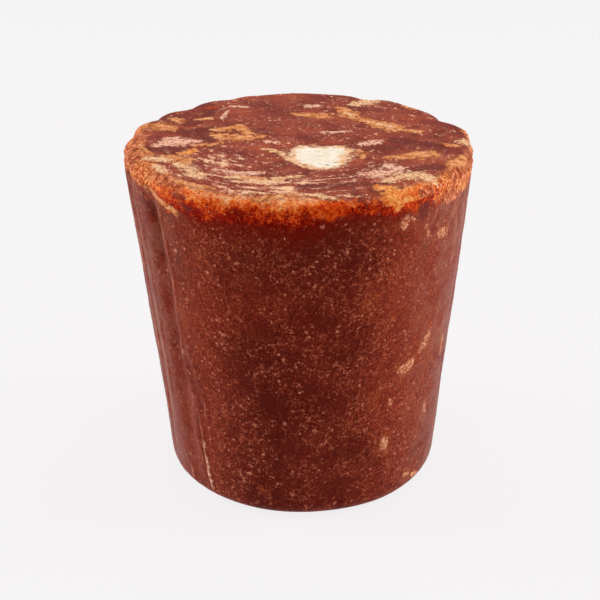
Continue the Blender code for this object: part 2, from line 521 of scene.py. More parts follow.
def lip_depth(place):
    """1 well inside the lip's band, a half at its edges, 0 well outside."""
    bearing = bearing_of(place)
    above = (place.z - read_between(LIP_FOOT, bearing)) / LIP_SOFTNESS
    outside = (math.hypot(place.x, place.y) - read_between(LIP_INNER, bearing)) / LIP_SOFTNESS
    return min(1.0, max(0.0, 0.5 + 0.5 * min(above, outside)))


def lip_rise(place):
    """How far up the lip a point is, up the wall and on over the rim: 0 at its foot, 1 at its top."""
    up = place.z - read_between(LIP_FOOT, bearing_of(place))
    inwards = wall_radius(place.z) - math.hypot(place.x, place.y)
    return min(1.0, max(0.0, (up + inwards) / LIP_BREADTH))


print("lip's foot at the front, in mm:", round(read_between(LIP_FOOT, 0) / MM, 1))

# %% The painted glow under the lip
# How far down the wall the painted glow of light through the lip reaches.
GLOW_REACH = 11.0 * MM
GLOW_MIDDLE = -3
GLOW_SPREAD = 26
GLOW_LEAST = 0.25
GLOW_OVERLAP = 1.5 * MM


def glow_depth(place):
    """How strongly the painted glow of light through the lip shows: 1 at the lip, falling to 0 down the
    wall; it reaches furthest at the front.
    """
    bearing = bearing_of(place)
    below = read_between(LIP_FOOT, bearing) - place.z
    towards = bell(turn_between(bearing, GLOW_MIDDLE), GLOW_SPREAD)
    reach = GLOW_REACH * (GLOW_LEAST + (1 - GLOW_LEAST) * towards)
    return 1 - min(1.0, max(0.0, (below + GLOW_OVERLAP) / (reach + GLOW_OVERLAP)))


UNDER_THE_LIP = Vector((0, -TOP_RADIUS, HEIGHT - 12 * MM))
print("glow under the lip at the front:", round(glow_depth(UNDER_THE_LIP), 2))


# %% [markdown]
# ## Fine folds
# The sheet's folds stand out as thin ridges with a groove beside them. Each one is a line up
# the wall given by a few points, and the mesh is fine enough to carry it as real relief. The
# material adds a painted highlight on the ridges and painted shade in the grooves.

# %% Ridges and grooves down the wall
# Rise (negative for a groove) and half width in mm, then bearing and height from the foot up.
FOLDS = (
    (0.46, 0.60, ((-44.3, 39), (-46.4, 45), (-47.8, 49), (-46.2, 57), (-46.4, 75), (-47.8, 85), (-49, 94))),
    (-0.60, 1.4, ((-48.5, 40), (-50.4, 50), (-50.7, 62), (-50.3, 74), (-52.4, 82), (-54.4, 93))),
    (0.40, 0.75, ((-60.7, 32), (-60.4, 39), (-61.2, 60), (-61.9, 73), (-64.1, 84), (-66, 95))),
    (0.40, 0.60, ((-37.6, 32), (-37.9, 36), (-38.7, 40), (-41.5, 47.7), (-42.6, 53))),
    (-0.40, 0.9, ((-40.2, 33), (-41.6, 40), (-44, 46), (-45.6, 53))),
    (0.46, 0.50, ((-38.1, 3.5), (-39.5, 7.5), (-40.4, 14.5), (-40.9, 20.6), (-41.8, 26))),
    (-0.30, 0.7, ((-40.2, 4), (-41.6, 9), (-42.2, 15), (-42.6, 22), (-43.4, 28))),
    (0.30, 0.55, ((-42.6, 12), (-43.2, 15.5), (-45.1, 20))),
    (0.25, 0.65, ((-51.6, 5), (-52.3, 8.9), (-56.8, 13))),
    (-0.45, 1, ((-67.5, 30), (-67, 60), (-69, 80), (-72, 99))),
    (0.38, 0.8, ((-72, 20), (-71.5, 50), (-73.5, 80), (-76, 98))),
    (-0.35, 1.2, ((-78, 12), (-77, 45), (-80, 75), (-82, 98))),
    (0.42, 0.7, ((-97, 20), (-101, 44), (-100, 62), (-107, 97))),
    (0.38, 0.8, ((-124, 46), (-128, 60), (-125, 76), (-131, 98))),
    (-0.45, 1.3, ((-116, 30), (-121, 60), (-118, 97))),
    (0.42, 0.7, ((-158, 6), (-164, 22), (-162, 40))),
    (0.42, 0.8, ((160, 42), (154, 58), (155, 76), (148, 98))),
    (-0.45, 1.2, ((164, 20), (160, 60), (157, 97))),
    (0.38, 0.7, ((130, 8), (124, 22), (127, 38))),
    (0.34, 0.8, ((100, 58), (106, 72), (108, 97))),
    (-0.28, 0.9, ((71, 30), (72, 60), (74, 96))),
)
FOLD_FADE = 4.0 * MM
FOLD_UNEVEN = 9.0 * MM
print("ridges:", sum(rise > 0 for rise, *_ in FOLDS), "grooves:", sum(rise < 0 for rise, *_ in FOLDS))


# %% How much a fold stands out
def fold_bearing(points, height):
    """The bearing of a fold's line at a height."""
    for (low_bearing, low), (high_bearing, high) in zip(points, points[1:]):
        if height <= high * MM:
            share = (height / MM - low) / (high - low)
            return low_bearing + (high_bearing - low_bearing) * share
    return points[-1][0]


def fold_profile(place, half_width, points):
    """1 on a fold's line, falling away to its sides and past its ends."""
    low, high = points[0][1] * MM, points[-1][1] * MM
    if place.z < low - FOLD_FADE or place.z > high + FOLD_FADE:
        return 0.0
    height = min(high, max(low, place.z))
    radius = math.hypot(place.x, place.y)
    across = math.radians(turn_between(bearing_of(place), fold_bearing(points, height))) * radius
    if abs(across) > 3 * half_width:
        return 0.0
    return bell(across, half_width) * bell(place.z - height, FOLD_FADE / 2)


def folds_at(place):
    """The relief of all the folds at a point of the wall, and how much of it is ridge or groove."""
    relief, ridge, groove = 0.0, 0.0, 0.0
    uneven = 0.75 + 0.6 * noise.noise(place / FOLD_UNEVEN)
    for rise, half_width, points in FOLDS:
        profile = fold_profile(place, half_width * MM, points) * uneven
        relief += rise * MM * profile
        if rise > 0:
            ridge = max(ridge, profile)
        else:
            groove = max(groove, profile)
    return relief, ridge, groove


# %% [markdown]
# ## Relief of the surface
# Now each point moves a little along its normal. The wall is waxy and waves slowly, the lip is
# crumbly, and the upper face has raised patches, pits and the trail of the tool that levelled it.
# The Displace modifier could do one of these with a texture; here the three meet without a seam.

# %% Relief by zone
# Waves of noise: from lump to lump, and how high, in mm.
LIP_WAVES = ((2.6, 0.30), (1.3, 0.26), (0.7, 0.14))
WALL_WAVES = ((6, 0.10), (2.2, 0.07), (1.0, 0.03))
FACE_WAVES = ((3.2, 0.12), (1.2, 0.07))
CRUST_WAVES = ((1.6, 0.12), (0.9, 0.06))
SUNK = 0.1 * MM
CRUST_RISE = 0.14 * MM


def waves(place, rows, level=0.0):
    return sum((height * MM * noise.noise(place / (size * MM)) for size, height in rows), level)


# Distance from the axis and half its breadth in mm, then middle bearing and half its spread.
SWEEPS = ((39, 9, -8, 42), (30, 9, -52, 22))


def sweep_strength(place):
    """How strongly the levelling tool's trail shows: most at the front, near the rim."""
    radius = math.hypot(place.x, place.y) / MM
    bearing = bearing_of(place)
    return max(
        bell(radius - middle, breadth) * bell(turn_between(bearing, towards), spread)
        for middle, breadth, towards, spread in SWEEPS
    )


SWEEP_HEIGHT = 0.16 * MM
SWEEP_GAP = 1.1 * MM
SWEEP_LENGTH = 16
SWEEP_LAYER = 3.7


def sweep_relief(place):
    """Fine ridges that run round the axis."""
    across = math.hypot(place.x, place.y) / SWEEP_GAP
    trail = noise.noise(Vector((across, bearing_of(place) / SWEEP_LENGTH, SWEEP_LAYER)))
    return SWEEP_HEIGHT * trail * sweep_strength(place)


def smooth_rise(value, low, high):
    share = min(1.0, max(0.0, (value - low) / (high - low)))
    return share * share * (3 - 2 * share)


print("trail near the rim:", round(sweep_strength(Vector((0, -39 * MM, HEIGHT))), 2))

# %% Where the wall is smooth
# Middle bearing and half spread of each smooth side.
SATIN_SIDES = ((-66, 24), (-118, 14), (168, 18), (118, 12), (74, 12))


def satin_at(place):
    """How smooth and waxy the wall is: most where the sheet lay tight against it, between folds."""
    bearing = bearing_of(place)
    tight = max(bell(turn_between(bearing, middle), spread) for middle, spread in SATIN_SIDES)
    return tight * smooth_rise(HEIGHT - place.z, 6 * MM, 14 * MM)


print(len(SATIN_SIDES), "smooth sides")

# %% Raise the relief and note the fields
fields = {name: [] for name in KINDS + ("lip", "rise", "glow", "ridge", "groove", "satin", "sweep")}
LOWEST_RELIEF = 3 * MM
CRUSTED = ("white", "cream", "pink", "tan", "chip")


def raise_relief(bm):
    """Moves each point along its normal, and notes what lies there for the material."""
    bm.normal_update()
    normals = [vert.normal.copy() for vert in bm.verts]
    for vert, normal in zip(bm.verts, normals):
        place = vert.co.copy()
        depths = stroke_depths(place)
        lip = lip_depth(place)
        on_face = smooth_rise(place.z, HEIGHT - LIP_DROP, HEIGHT - 0.5 * MM)
        fold_relief, ridge, groove = folds_at(place) if place.z < FACE_LEVEL else (0.0, 0.0, 0.0)
        crust = smooth_rise(max(depths[kind] for kind in CRUSTED), 0.42, 0.62)
        wall = waves(place, WALL_WAVES) + fold_relief
        face = waves(place, FACE_WAVES) + sweep_relief(place) - SUNK
        relief = (1 - on_face) * wall + on_face * face
        relief += crust * waves(place, CRUST_WAVES, CRUST_RISE)
        relief += smooth_rise(lip, 0.3, 0.8) * (waves(place, LIP_WAVES) - SUNK)
        relief *= smooth_rise(place.z, 0.5 * MM, LOWEST_RELIEF)
        vert.co += normal * relief
        sweep = sweep_strength(place) * on_face
        found = (lip, lip_rise(place), glow_depth(place), ridge, groove, satin_at(place), sweep)
        for name, value in zip(fields, (*depths.values(), *found)):
            fields[name].append(value)


raise_relief(block_mesh)
print("relief raised; most ridge:", round(max(fields["ridge"]), 2))

# %% [markdown]
# ## Recipes for materials
# A material here is a tree of small nodes. A few helpers keep the recipes short: they add a node,
# fill in its sockets, and hand back the output that the next step needs. Sizes are in metres, so a
# pattern's scale can be read against the real sugar.

# %% Helpers for shader nodes
def paint(red, green, blue):
    """A colour given as it looks on a screen, 0 to 255, as the linear light that shaders use."""
    shares = [part / 255 for part in (red, green, blue)]
    return (*[s / 12.92 if s < 0.04045 else ((s + 0.055) / 1.055) ** 2.4 for s in shares], 1.0)


def linear(colour):
    """A colour's red, green and blue, rounded for printing."""
    return [round(part, 3) for part in colour[:3]]


print("mid grey in linear light:", linear(paint(128, 128, 128)))


# %% The recipe itself
class Recipe:
    """Short ways of adding nodes to one material."""

    def __init__(self, name):
        self.material = bpy.data.materials.new(name)
        self.material.use_nodes = True
        self.tree = self.material.node_tree
        self.shader = self.tree.nodes["Principled BSDF"]
        self.where = self.add("ShaderNodeTexCoord").outputs["Object"]
        self.place = self.add("ShaderNodeSeparateXYZ", {"Vector": self.where}).outputs

    def plug(self, socket, value):
        if isinstance(value, bpy.types.NodeSocket):
            self.tree.links.new(value, socket)
        else:
            socket.default_value = value

    def add(self, kind, inputs=(), **settings):
        made = self.tree.nodes.new(kind)
        for name, value in settings.items():
            setattr(made, name, value)
        for name, value in dict(inputs).items():
            self.plug(made.inputs[name], value)
        return made

    def sum(self, operation, one, other=0.5):
        return self.add("ShaderNodeMath", {0: one, 1: other}, operation=operation).outputs[0]

    def plus(self, one, other):
        return self.sum("ADD", one, other)

    def times(self, one, other):
        return self.sum("MULTIPLY", one, other)

    def larger(self, one, other):
        return self.sum("MAXIMUM", one, other)

    def sideways(self, near, far):
        """0 within one distance of the upright plane through front and back, 1 beyond another."""
        return self.rise(self.sum("ABSOLUTE", self.place["X"]), near, far)

    def rise(self, value, low, high):
        """0 below low, 1 above high, and smooth in between. Low may be the larger: then it falls."""
        inputs = {"Value": value, "From Min": low, "From Max": high}
        made = self.add("ShaderNodeMapRange", inputs, interpolation_type="SMOOTHSTEP")
        return made.outputs["Result"]

    def scaled(self, value, low, high):
        """Turns 0 to 1 into low to high."""
        made = self.add("ShaderNodeMapRange", {"Value": value, "To Min": low, "To Max": high})
        return made.outputs["Result"]

    def cloud(self, size, detail=2.0, roughness=0.5, where=None):
        """Cloudy noise, about 0.5 on average, with lumps of a size in metres."""
        inputs = {"Vector": where or self.where, "Scale": 1 / size}
        inputs.update({"Detail": detail, "Roughness": roughness})
        return self.add("ShaderNodeTexNoise", inputs).outputs["Fac"]

    def wobble(self, swing, size, detail=2.0, roughness=0.5):
        """Cloudy noise to add to a value: as much below 0 as above it."""
        return self.scaled(self.cloud(size, detail, roughness), -swing, swing)

    def shaken(self, size, amount):
        """Places moved about by noise, so that a regular pattern read at them comes out uneven."""
        noisy = self.add("ShaderNodeTexNoise", {"Vector": self.where, "Scale": 1 / size})
        inputs = {0: noisy.outputs["Color"], 1: (0.5, 0.5, 0.5)}
        centred = self.add("ShaderNodeVectorMath", inputs, operation="SUBTRACT")
        inputs = {0: centred.outputs["Vector"], 1: (amount, amount, amount), 2: self.where}
        return self.add("ShaderNodeVectorMath", inputs, operation="MULTIPLY_ADD").outputs["Vector"]

    def flecks(self, size, share, radius, where):
        """Scattered flecks: 1 in the middle of a fleck, and a chance number for each of them.

        They lie in cells of a size in metres, and share is how many of the cells hold one.
        """
        cells = self.add("ShaderNodeTexVoronoi", {"Vector": where, "Scale": 1 / size})
        chance = self.add("ShaderNodeSeparateColor", {"Color": cells.outputs["Color"]}).outputs
        distance = self.plus(cells.outputs["Distance"], self.scaled(chance["Blue"], -0.10, 0.14))
        inside = self.rise(distance, radius, radius * 0.6)
        chosen = self.sum("LESS_THAN", chance["Red"], share)
        return self.times(inside, chosen), chance["Green"]

    def mix(self, amount, one, other):
        inputs = {"Factor": amount, "A": one, "B": other}
        return self.add("ShaderNodeMix", inputs, data_type="RGBA").outputs["Result"]

    def ramp(self, value, *stops):
        """A colour read off a row of (position, colour) stops."""
        made = self.add("ShaderNodeValToRGB", {"Fac": value})
        row = made.color_ramp.elements
        while len(row) < len(stops):
            row.new(0.5)
        for stop, (position, colour) in zip(row, stops):
            stop.position = position
            stop.color = colour
        return made.outputs["Color"]

    def field(self, name):
        """A value that the mesh's points carry."""
        return self.add("ShaderNodeAttribute", attribute_name=name).outputs["Fac"]

    def torn(self, name, size, raggedness):
        """A field with noise added to it, but only where the field is more than 0."""
        depth = self.field(name)
        noisy = self.wobble(raggedness, size, 5.0, 0.72)
        return self.plus(depth, self.times(noisy, self.rise(depth, 0.0, 0.3)))

    def ragged(self, name, size, raggedness, softness, edge=0.5):
        """Where a field passes its edge, with the edge broken up by noise."""
        return self.rise(self.torn(name, size, raggedness), edge - softness, edge + softness)


def set_plain(recipe, **values):
    """Sets the shader's own sockets. Spaces in a socket's name are written as underscores."""
    for name, value in values.items():
        recipe.shader.inputs[name.replace("_", " ")].default_value = value


print("helpers:", [name for name in vars(Recipe) if not name.startswith("_")])

# %% [markdown]
# ## The wall's colour
# The wall is deep red-brown and waxy, clouded with paler rust. It is painted paler towards the left and
# the right as the side lamps' light, and deep red under the lip as a painted glow of light through the
# clear sugar. Sugar grains too small to model lie in it in drifts: some patches are crowded with them
# and others almost bare. The cells of a Voronoi texture make the flecks, noise makes their outlines
# uneven, and slow noise decides how many of the cells hold one. Where the sheet lay tight the wall is
# smooth, and the folds' ridges are painted pale as a highlight.

# %% Body of the wall
DEEP = paint(82, 15, 9)
WINE = paint(98, 25, 16)
RUST = paint(137, 45, 27)
# Painted shade: the dark inside of the wall's small pits.
PIT_SHADE = paint(54, 7, 3)
SATIN_BROWN = paint(128, 46, 31)
# Painted glow: the deep red of light through the lip's clear sugar, laid on the wall below it.
PAINTED_GLOW_RED = paint(108, 11, 2)
# Painted light: how much paler the wall is painted towards the left and the right, as lit by the side
# lamps.
LEFT_PAINTED_LIGHT = 0.15
RIGHT_PAINTED_LIGHT = 0.25


def to_the_side(r):
    """0 along the middle of the front and back, 1 towards the left and the right."""
    return r.sideways(6 * MM, 28 * MM)


# How much of the painted red glow of light through the lip shows on the wall.
def painted_glow_amount(r):
    glow = r.plus(r.field("glow"), r.wobble(0.4, 2.6 * MM, 4.0, 0.7))
    return r.times(r.rise(glow, 0.12, 0.85), 0.9)


def wall_ground(r):
    """Slow clouds with finer mottling, painted light towards the left and right, and the painted red glow.
    """
    clouds = r.scaled(r.cloud(18 * MM, 3.0, 0.5), 0.24, 0.68)
    clouds = r.plus(clouds, r.wobble(0.18, 2.2 * MM, 3.0, 0.7))
    fine = r.times(r.plus(r.cloud(0.55 * MM, 2.0, 0.7), -0.5), r.scaled(to_the_side(r), 0.44, 1.0))
    # Painted light: paler towards the left, and towards the right higher up, where the side lamps fall.
    left = r.rise(r.place["X"], -4 * MM, -34 * MM)
    right = r.times(r.rise(r.place["X"], 10 * MM, 34 * MM), r.rise(r.place["Z"], -40 * MM, 60 * MM))
    clouds = r.plus(r.plus(clouds, fine), r.scaled(left, 0.0, LEFT_PAINTED_LIGHT))
    clouds = r.plus(clouds, r.scaled(right, 0.0, RIGHT_PAINTED_LIGHT))
    ground = r.ramp(clouds, (0.36, DEEP), (0.50, WINE), (0.70, RUST))
    ground = r.mix(r.times(r.field("satin"), 0.5), ground, SATIN_BROWN)
    # The painted glow of light through the lip, deep red on the wall below it.
    return r.mix(painted_glow_amount(r), ground, PAINTED_GLOW_RED)


print("deep, wine and rust:", [linear(colour) for colour in (DEEP, WINE, RUST)])

# %% Flecks in the wall
CURD = paint(144, 56, 34)
CURL = paint(180, 92, 64)
CRUMB_PINK = paint(206, 116, 82)
FLECK = ((0.0, paint(126, 44, 29)), (0.60, paint(166, 78, 58)), (1.0, paint(222, 142, 112)))


def wall_crowding(r):
    """How crowded the flecks are: 0 where the wall is bare, 1 in a drift; most at the two sides."""
    drifts = r.plus(r.cloud(9 * MM, 4.0, 0.65), r.wobble(0.22, 2.4 * MM))
    drifts = r.plus(drifts, r.scaled(to_the_side(r), 0.0, 0.10))
    bare = r.larger(r.times(r.field("satin"), 0.6), r.times(r.field("glow"), 0.5))
    return r.times(r.rise(drifts, 0.40, 0.64), r.scaled(bare, 1.0, 0.0))


def curled_lines(r, size, width, where):
    """Thin curled lines: where slow noise passes its middle value."""
    off = r.sum("ABSOLUTE", r.plus(r.cloud(size, 1.0, 0.5, where), -0.5))
    return r.rise(off, width, width * 0.3)


def wall_flecks(r, colour):
    """Curd, curls, pits painted dark as shade, and flecks of two sizes, laid over a colour."""
    crowd = wall_crowding(r)
    uneven = r.shaken(0.5 * MM, 0.5 * MM)
    curd = r.rise(r.cloud(0.6 * MM, 3.0, 0.8), 0.50, 0.66)
    colour = r.mix(r.times(curd, r.scaled(crowd, 0.10, 0.75)), colour, CURD)
    curls = r.times(curled_lines(r, 1.7 * MM, 0.08, uneven), r.rise(r.cloud(1.1 * MM), 0.51, 0.60))
    colour = r.mix(r.times(curls, r.scaled(crowd, 0.05, 0.65)), colour, CURL)
    # Pits: dark specks painted as the shade inside small holes.
    pits, _ = r.flecks(0.9 * MM, r.scaled(crowd, 0.15, 0.60), 0.42, uneven)
    colour = r.mix(r.times(pits, 0.5), colour, PIT_SHADE)
    small, tone = r.flecks(0.95 * MM, r.scaled(crowd, 0.04, 0.55), 0.46, uneven)
    strength = r.times(small, r.scaled(tone, 0.0, 0.7))
    colour = r.mix(strength, colour, r.ramp(tone, *FLECK))
    crumbs = r.rise(r.cloud(1.2 * MM, 5.0, 0.75), 0.57, 0.66)
    colour = r.mix(r.times(crumbs, r.scaled(crowd, 0.06, 0.70)), colour, CRUMB_PINK)
    large, tone = r.flecks(2.1 * MM, r.scaled(crowd, 0.04, 0.26), 0.38, uneven)
    broken = r.rise(r.cloud(0.5 * MM, 2.0, 0.7), 0.44, 0.56)
    return r.mix(r.times(large, broken), colour, r.ramp(tone, *FLECK))


print("palest fleck:", linear(FLECK[-1][1]))

# %% Folds and chips with painted highlight and shade, and flakes
# The first colour is a painted highlight on the folds' ridges, the second painted shade in their grooves.
RIDGE_HIGHLIGHT = paint(190, 108, 84)
GROOVE_SHADE = paint(70, 14, 8)
CHIP_TAN = ((0.33, paint(136, 58, 34)), (0.47, paint(196, 114, 76)), (0.60, paint(240, 178, 140)))
FLAKE_PINK = ((0.40, paint(128, 54, 36)), (0.56, paint(168, 92, 66)), (0.68, paint(212, 144, 108)))
RUST_ORANGE = paint(168, 78, 38)
# A painted sheen: the pale rosy light that the far left and right of the wall catch.
PAINTED_SHEEN = paint(152, 98, 80)


def painted_fold_light(r, colour):
    """Painted shade in the grooves, and a painted highlight on the ridges here and there."""
    colour = r.mix(r.times(r.rise(r.field("groove"), 0.3, 1.0), 0.6), colour, GROOVE_SHADE)
    patchy = r.rise(r.cloud(2 * MM, 3.0, 0.7), 0.36, 0.60)
    ridge_highlit = r.times(r.rise(r.field("ridge"), 0.35, 0.85), r.scaled(patchy, 0.20, 1.0))
    return r.mix(ridge_highlit, colour, RIDGE_HIGHLIGHT)


def flaked(r, colour):
    """Thin pale flakes, drawn out up the wall."""
    upright = r.add("ShaderNodeVectorMath", {0: r.where, 1: (1, 1, 0.22)}, operation="MULTIPLY")
    flaky = r.ramp(r.cloud(0.9 * MM, 3.0, 0.7, upright.outputs["Vector"]), *FLAKE_PINK)
    return r.mix(r.times(r.ragged("flake", 1.6 * MM, 1.3, 0.25), 0.7), colour, flaky)


def rusted(r, colour):
    """Orange grains: in the rust strokes, round the chips, and in drifts towards the sides."""
    grains = r.rise(r.cloud(0.7 * MM, 3.0, 0.8), 0.46, 0.60)
    around_chips = r.ragged("chip", 1.6 * MM, 1.2, 0.3, 0.2)
    rust = r.larger(r.ragged("rust", 1.6 * MM, 1.2, 0.3), around_chips)
    drifts = r.rise(r.cloud(5 * MM, 4.0, 0.7), 0.46, 0.64)
    drifts = r.times(drifts, r.scaled(to_the_side(r), 0.20, 0.70))
    rust = r.larger(rust, r.times(drifts, r.scaled(r.field("satin"), 1.0, 0.3)))
    return r.mix(r.times(rust, r.scaled(grains, 0.05, 0.85)), colour, RUST_ORANGE)


def with_painted_sheen(r, colour):
    """A painted sheen: thin rosy paleness in patches at the far left and right, where the wall turns from
    the front and catches the lamps.
    """
    patches = r.rise(r.cloud(7 * MM, 4.0, 0.7), 0.42, 0.58)
    return r.mix(r.times(r.times(r.sideways(26 * MM, 44 * MM), patches), 0.4), colour, PAINTED_SHEEN)


def chipped(r, colour):
    """Pale chips, painted darker towards their middles as the shade in their hollows."""
    # Painted shade: the tone falls towards each chip's middle.
    hollow_shade = r.plus(r.cloud(0.9 * MM, 3.0, 0.7), r.scaled(r.field("chip"), 0.10, -0.06))
    return r.mix(r.ragged("chip", 1.1 * MM, 0.8, 0.25), colour, r.ramp(hollow_shade, *CHIP_TAN))


def wall_colour(r):
    colour = wall_flecks(r, wall_ground(r))
    for laid_over in (painted_fold_light, flaked, rusted, with_painted_sheen, chipped):
        colour = laid_over(r, colour)
    return colour


print("chips, dark to pale:", [linear(colour) for _, colour in CHIP_TAN])

# %% [markdown]
# ## The lip's colour
# The lip is a crust of coarse sugar that light soaks into: amber above, and a deep red glow, painted
# into its colour, where it thins out against the wall. Clots of cloudy noise gather it into brighter
# and darker lumps, finer noise crumbles them, and a few dry grains are left pale.

# %% Colours of the lip
# The first colour is the deep red at the lip's foot, painted as a glow of light through the thin sugar.
GLOW = paint(112, 9, 2)
EMBER = paint(160, 26, 3)
FLAME = paint(214, 67, 12)
AMBER = paint(242, 115, 38)
HONEY = paint(251, 166, 92)
DRY_SUGAR = paint(252, 208, 160)
SPARK = paint(252, 172, 122)
ROSY = ((0.36, paint(170, 60, 24)), (0.48, paint(222, 118, 68)), (0.60, paint(252, 188, 142)))
SIDE_CRUMBS = ((0.42, paint(142, 46, 15)), (0.50, paint(202, 100, 46)), (0.59, paint(250, 176, 110)))
EMBERS = ((0.10, GLOW), (0.28, EMBER), (0.44, FLAME), (0.63, AMBER), (0.84, HONEY), (1.0, DRY_SUGAR))
SIDES_PALER = 0.28
print("from the lip's foot up:", [linear(colour) for _, colour in EMBERS])


# %% The lip's crust
def lip_colour(r):
    """Deep red at the lip's foot, painted deeper as a glow of light through the thin sugar, orange above,
    and rosy dry sugar where it turns into the face.
    """
    clots = r.wobble(0.75, 3.6 * MM, 4.0, 0.7)
    crumbs = r.wobble(0.75, 0.6 * MM, 3.0, 0.85)
    rise = r.field("rise")
    side = r.sideways(14 * MM, 40 * MM)
    upwards = r.scaled(rise, r.scaled(side, 0.05, 0.22), r.scaled(side, 0.90, 0.72))
    tone = r.plus(r.plus(clots, crumbs), upwards)
    tone = r.plus(tone, r.scaled(r.rise(r.place["Y"], -44 * MM, -16 * MM), 0.0, SIDES_PALER))
    colour = r.ramp(tone, *EMBERS)
    upper = r.rise(r.plus(rise, r.wobble(0.8, 2.0 * MM, 4.0, 0.7)), 0.50, 0.95)
    crumbly = r.cloud(0.8 * MM, 3.0, 0.75)
    colour = r.mix(r.times(upper, r.scaled(side, 0.65, 0.40)), colour, r.ramp(crumbly, *ROSY))
    aside = r.plus(r.rise(r.place["Y"], -42 * MM, -20 * MM), r.wobble(0.7, 2.6 * MM, 3.0))
    lumps = r.plus(r.plus(crumbly, r.times(clots, 0.16)), r.times(crumbs, 0.10))
    browned = r.scaled(r.rise(r.place["Y"], 4 * MM, 32 * MM), 0.85, 0.30)
    colour = r.mix(r.times(r.rise(aside, 0.15, 0.65), browned), colour, r.ramp(lumps, *SIDE_CRUMBS))
    dry, tone = r.flecks(0.65 * MM, 0.30, 0.44, r.shaken(0.5 * MM, 0.4 * MM))
    shown = r.times(r.scaled(tone, -0.4, 0.8), r.scaled(rise, 0.3, 1.0))
    return r.mix(r.times(dry, shown), colour, SPARK)


print("dry grains of the lip:", linear(SPARK))

# %% [markdown]
# ## The upper face's colour
# The face is a purplish brown skin, flecked and veined with paler sugar. The levelling tool drew its
# small flakes out round the axis, so their noise is read in turns round the axis instead of straight
# across. The strokes are laid over the skin one kind after another.

# %% Skin of the upper face
# Real stains, also used for the painted shade in the face's small pits.
STAIN_AND_PIT_SHADE = paint(98, 34, 22)
PLUM = paint(116, 46, 36)
SKIN = paint(142, 61, 47)
ROSE = paint(172, 82, 56)
PINK_SUGAR = paint(240, 176, 143)
CREAM = paint(248, 200, 154)


def round_the_axis(r, across, around):
    """The place as distance from the axis and turn about it, so that noise is drawn out around it."""
    x, y = r.place["X"], r.place["Y"]
    radius = r.sum("SQRT", r.plus(r.times(x, x), r.times(y, y)))
    turn = r.sum("ARCTAN2", x, r.times(y, -1.0))
    inputs = {"X": r.sum("DIVIDE", radius, across), "Y": r.sum("DIVIDE", turn, around)}
    return r.add("ShaderNodeCombineXYZ", inputs).outputs["Vector"]


def face_skin(r):
    """The brown skin with its stains, pits painted dark as shade, mottling, flecks and drawn-out flakes."""
    mottled = r.plus(r.cloud(13 * MM, 4.0, 0.62), r.wobble(0.25, 0.7 * MM, 3.0, 0.75))
    skin = r.ramp(mottled, (0.36, PLUM), (0.50, SKIN), (0.66, ROSE))
    stained = r.times(r.rise(r.cloud(5 * MM, 4.0, 0.7), 0.54, 0.72), 0.7)
    skin = r.mix(stained, skin, STAIN_AND_PIT_SHADE)
    uneven = r.shaken(0.9 * MM, 1.0 * MM)
    drawn = r.times(r.field("sweep"), 0.5)
    crowd = r.plus(r.rise(r.cloud(7 * MM, 3.0, 0.6), 0.44, 0.64), drawn)
    # Dark flecks: small pits, painted in the stain colour as the shade inside them.
    dark, _ = r.flecks(1.1 * MM, r.scaled(crowd, 0.15, 0.55), 0.42, uneven)
    skin = r.mix(r.times(dark, 0.5), skin, STAIN_AND_PIT_SHADE)
    pale, tone = r.flecks(1.5 * MM, r.scaled(crowd, 0.04, 0.38), 0.40, uneven)
    skin = r.mix(r.times(pale, r.scaled(tone, 0.0, 1.0)), skin, PINK_SUGAR)
    tiny, tone = r.flecks(0.7 * MM, r.scaled(crowd, 0.06, 0.70), 0.46, r.shaken(0.5 * MM, 0.5 * MM))
    skin = r.mix(r.times(tiny, r.scaled(tone, -0.1, 0.85)), skin, PINK_SUGAR)
    trail = r.cloud(1.0, 4.0, 0.62, round_the_axis(r, 2.0 * MM, 0.17))
    trail = r.plus(trail, r.scaled(r.field("sweep"), -0.07, 0.09))
    trail = r.plus(trail, r.wobble(0.16, 0.9 * MM, 3.0, 0.75))
    skin = r.mix(r.times(r.rise(trail, 0.53, 0.66), 0.8), skin, PINK_SUGAR)
    return r.mix(r.times(r.rise(trail, 0.60, 0.70), 0.9), skin, CREAM)


print("skin:", linear(SKIN))

# %% Colours of the strokes
PLUM_DARK = paint(104, 40, 34)
# The next colour is painted shadow, laid as a dark rim round the raised tan, pink and cream patches.
RIM_SHADOW = paint(104, 34, 20)
CRUST = ((0.39, paint(118, 38, 20)), (0.50, paint(182, 88, 52)), (0.60, paint(236, 150, 108)))
TAN_SUGAR = (
    (0.34, paint(130, 54, 24)),
    (0.45, paint(213, 127, 70)),
    (0.56, paint(232, 156, 99)),
    (0.68, paint(248, 190, 140)),
)
PINK_FLAKE = ((0.37, ROSE), (0.47, PINK_SUGAR), (0.60, paint(255, 212, 184)))
CREAM_FLAKE = ((0.36, paint(190, 102, 60)), (0.47, paint(238, 178, 126)), (0.62, paint(254, 222, 182)))
HONEY_CLEAR = ((0.36, paint(212, 94, 30)), (0.50, paint(238, 146, 68)), (0.64, paint(252, 190, 116)))
AMBER_CLEAR = ((0.36, EMBER), (0.52, FLAME), (0.66, AMBER))
PEACH_SUGAR = ((0.34, paint(224, 150, 102)), (0.48, paint(248, 196, 148)), (0.62, paint(254, 224, 188)))
WHITE_SUGAR = ((0.36, paint(234, 216, 190)), (0.50, paint(246, 232, 208)), (0.62, paint(253, 242, 228)))
PEPPER = paint(132, 100, 74)
print("white sugar, dark to pale:", [linear(colour) for _, colour in WHITE_SUGAR])


# %% Strokes laid over the skin
def patch(r, colour, kind, tones, size, raggedness, softness, edge=0.5, strength=0.9, rim=0.0):
    """Lays the strokes of one kind over a colour: first a darker rim of painted shadow round the patch,
    then their own sugar.
    """
    depth = r.torn(kind, size, raggedness)
    # Painted shadow: a dark rim just outside the stroke's edge.
    colour = r.mix(r.times(r.rise(depth, edge - 0.25, edge - 0.05), rim), colour, RIM_SHADOW)
    return r.mix(r.times(r.rise(depth, edge - softness, edge + softness), strength), colour, tones)


